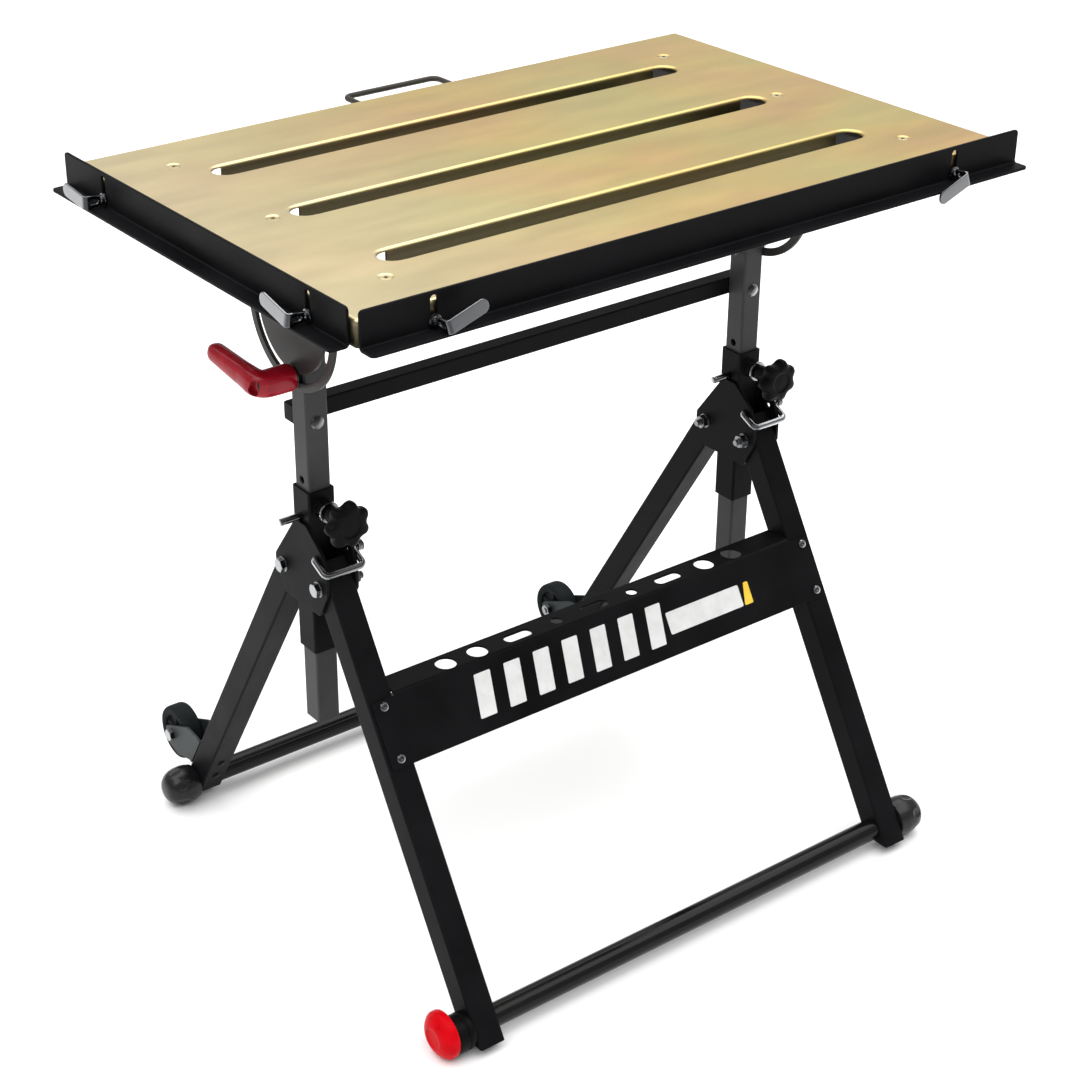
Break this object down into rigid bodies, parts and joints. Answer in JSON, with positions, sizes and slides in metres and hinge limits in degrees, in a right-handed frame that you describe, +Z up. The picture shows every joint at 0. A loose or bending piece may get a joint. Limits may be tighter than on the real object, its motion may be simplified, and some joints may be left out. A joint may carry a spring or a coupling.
{
  "type": "folding welding table",
  "caption": "Folding welding table with a slotted plated steel top that tilts on height-adjustable posts over an A-frame stand.",
  "frame": {"origin": "on the floor, in the middle of the rectangle that the whole table covers", "axes": "+Z is up, +X runs along the table top to the operator's right, -Y faces the operator"},
  "size_m": [0.8025, 0.6368, 0.793],
  "materials": {
    "top_plate": "yellow passivated zinc plate",
    "satin_grey": "satin",
    "handle_rod": "dark bronze",
    "zinc": "zinc plated",
    "black_steel": "powder coat",
    "gloss_bar": "gloss",
    "black_plastic": "satin",
    "foot_rubber": "dimpled",
    "red_cap": "moulded",
    "red_grip": "moulded",
    "bright_rod": "polished",
    "fork_paint": "satin",
    "wheel_tyre": "matt",
    "wheel_hub": "moulded"
  },
  "bodies": {
    "stand_heads": {"sleeve_left": "black_steel", "sleeve_right": "black_steel", "gusset_plates_left": "black_steel", "gusset_plates_right": "black_steel", "leg_bolts": "zinc", "leg_nuts": "zinc", "bail_spring_left": "bright_rod", "bail_spring_right": "bright_rod"},
    "post_frame": {"post_left": "satin_grey", "post_right": "satin_grey", "crossbar": "black_steel", "crossbar_caps": "black_plastic", "crossbar_bolts": "zinc", "crossbar_nuts": "zinc", "tilt_pivot_bolts": "zinc", "tilt_lock_bolts": "zinc"},
    "table": {"table_top": "top_plate", "tilt_bracket_left": "satin_grey", "tilt_bracket_right": "satin_grey", "top_screws": "top_plate", "carry_handle": "handle_rod", "fence_nuts": "zinc"},
    "tilt_lever": {"tilt_lock_lever": "red_grip"},
    "guide_rail_left": {"fence_left": "black_steel"},
    "guide_rail_front": {"fence_front": "black_steel"},
    "lever_left_front": {"fence_lever_left_front": "bright_rod"},
    "lever_left_rear": {"fence_lever_left_rear": "bright_rod"},
    "lever_front_left": {"fence_lever_front_left": "bright_rod"},
    "lever_front_right": {"fence_lever_front_right": "bright_rod"},
    "clamp_knob_left": {"knob_left": "black_plastic", "knob_stud_left": "bright_rod"},
    "clamp_knob_right": {"knob_right": "black_plastic", "knob_stud_right": "bright_rod"},
    "pin_left": {"height_pin_left": "bright_rod"},
    "pin_right": {"height_pin_right": "bright_rod"},
    "lock_bail_left": {"bail_left": "bright_rod"},
    "lock_bail_right": {"bail_right": "bright_rod"},
    "front_leg_frame": {"front_leg_left": "black_steel", "front_leg_right": "black_steel", "front_bar": "gloss_bar", "tool_tray": "black_steel", "tray_screws": "zinc", "foot_front_right": "foot_rubber", "foot_collar": "black_plastic"},
    "levelling_cap": {"levelling_foot": "red_cap"},
    "rear_leg_frame": {"rear_leg_left": "black_steel", "rear_leg_right": "black_steel", "rear_bar": "gloss_bar", "foot_rear_left": "foot_rubber", "foot_rear_right": "foot_rubber", "caster_fork_left": "fork_paint", "caster_fork_right": "fork_paint", "caster_axles": "zinc"},
    "wheel_left": {"caster_tyre_left": "wheel_tyre", "caster_hub_left": "wheel_hub"},
    "wheel_right": {"caster_tyre_right": "wheel_tyre", "caster_hub_right": "wheel_hub"}
  },
  "joints": [
    {"name": "height_slide", "type": "slide", "parent": "stand_heads", "child": "post_frame", "axis": [0, 0, 1], "range_m": [-0.0381, 0.0381]},
    {"name": "table_tilt", "type": "hinge", "parent": "post_frame", "child": "table", "pos_m": [0.0053, -0.0295, 0.686], "axis": [1, 0, 0], "range_deg": [0, 90]},
    {"name": "tilt_lever_turn", "type": "hinge", "parent": "post_frame", "child": "tilt_lever", "pos_m": [-0.2722, -0.0295, 0.625], "axis": [1, 0, 0], "range_deg": [-45, 75]},
    {"name": "guide_rail_left_drop", "type": "slide", "parent": "table", "child": "guide_rail_left", "axis": [0, 0, 1], "range_m": [-0.018, 0]},
    {"name": "guide_rail_front_drop", "type": "slide", "parent": "table", "child": "guide_rail_front", "axis": [0, 0, 1], "range_m": [-0.018, 0]},
    {"name": "lever_left_front_turn", "type": "hinge", "parent": "table", "child": "lever_left_front", "pos_m": [-0.3757, -0.2075, 0.767], "axis": [-1, 0, 0], "range_deg": [-20, 100]},
    {"name": "lever_left_rear_turn", "type": "hinge", "parent": "table", "child": "lever_left_rear", "pos_m": [-0.3757, 0.1485, 0.767], "axis": [-1, 0, 0], "range_deg": [-20, 100]},
    {"name": "lever_front_left_turn", "type": "hinge", "parent": "table", "child": "lever_front_left", "pos_m": [-0.3017, -0.2755, 0.767], "axis": [0, -1, 0], "range_deg": [-20, 100]},
    {"name": "lever_front_right_turn", "type": "hinge", "parent": "table", "child": "lever_front_right", "pos_m": [0.3123, -0.2755, 0.767], "axis": [0, -1, 0], "range_deg": [-20, 100]},
    {"name": "clamp_knob_left_turn", "type": "hinge", "parent": "stand_heads", "child": "clamp_knob_left", "pos_m": [-0.2722, -0.0695, 0.487], "axis": [0, -1, 0], "continuous": true},
    {"name": "clamp_knob_right_turn", "type": "hinge", "parent": "stand_heads", "child": "clamp_knob_right", "pos_m": [0.2828, -0.0695, 0.487], "axis": [0, -1, 0], "continuous": true},
    {"name": "pin_left_push", "type": "slide", "parent": "stand_heads", "child": "pin_left", "axis": [1, 0, 0], "range_m": [0, 0.022]},
    {"name": "pin_right_push", "type": "slide", "parent": "stand_heads", "child": "pin_right", "axis": [1, 0, 0], "range_m": [0, 0.022]},
    {"name": "bail_left_lift", "type": "hinge", "parent": "stand_heads", "child": "lock_bail_left", "pos_m": [-0.2722, -0.0605, 0.444], "axis": [-1, 0, 0], "range_deg": [0, 60], "stiffness_Nm_per_rad": 0.08, "springref_deg": -17.19},
    {"name": "bail_right_lift", "type": "hinge", "parent": "stand_heads", "child": "lock_bail_right", "pos_m": [0.2828, -0.0605, 0.444], "axis": [-1, 0, 0], "range_deg": [0, 60], "stiffness_Nm_per_rad": 0.08, "springref_deg": -17.19},
    {"name": "front_leg_fold", "type": "hinge", "parent": "stand_heads", "child": "front_leg_frame", "pos_m": [0.0053, -0.0615, 0.411], "axis": [1, 0, 0], "range_deg": [0, 31]},
    {"name": "rear_leg_fold", "type": "hinge", "parent": "stand_heads", "child": "rear_leg_frame", "pos_m": [0.0053, 0.0025, 0.411], "axis": [1, 0, 0], "range_deg": [-31, 0]},
    {"name": "levelling_cap_turn", "type": "hinge", "parent": "front_leg_frame", "child": "levelling_cap", "pos_m": [-0.3147, -0.29524, 0.022], "axis": [1, 0, 0], "range_deg": [-90, 90]},
    {"name": "wheel_left_spin", "type": "hinge", "parent": "rear_leg_frame", "child": "wheel_left", "pos_m": [-0.2722, 0.28312, 0.06046], "axis": [1, 0, 0], "continuous": true},
    {"name": "wheel_right_spin", "type": "hinge", "parent": "rear_leg_frame", "child": "wheel_right", "pos_m": [0.2828, 0.2852, 0.03371], "axis": [1, 0, 0], "continuous": true}
  ]
}
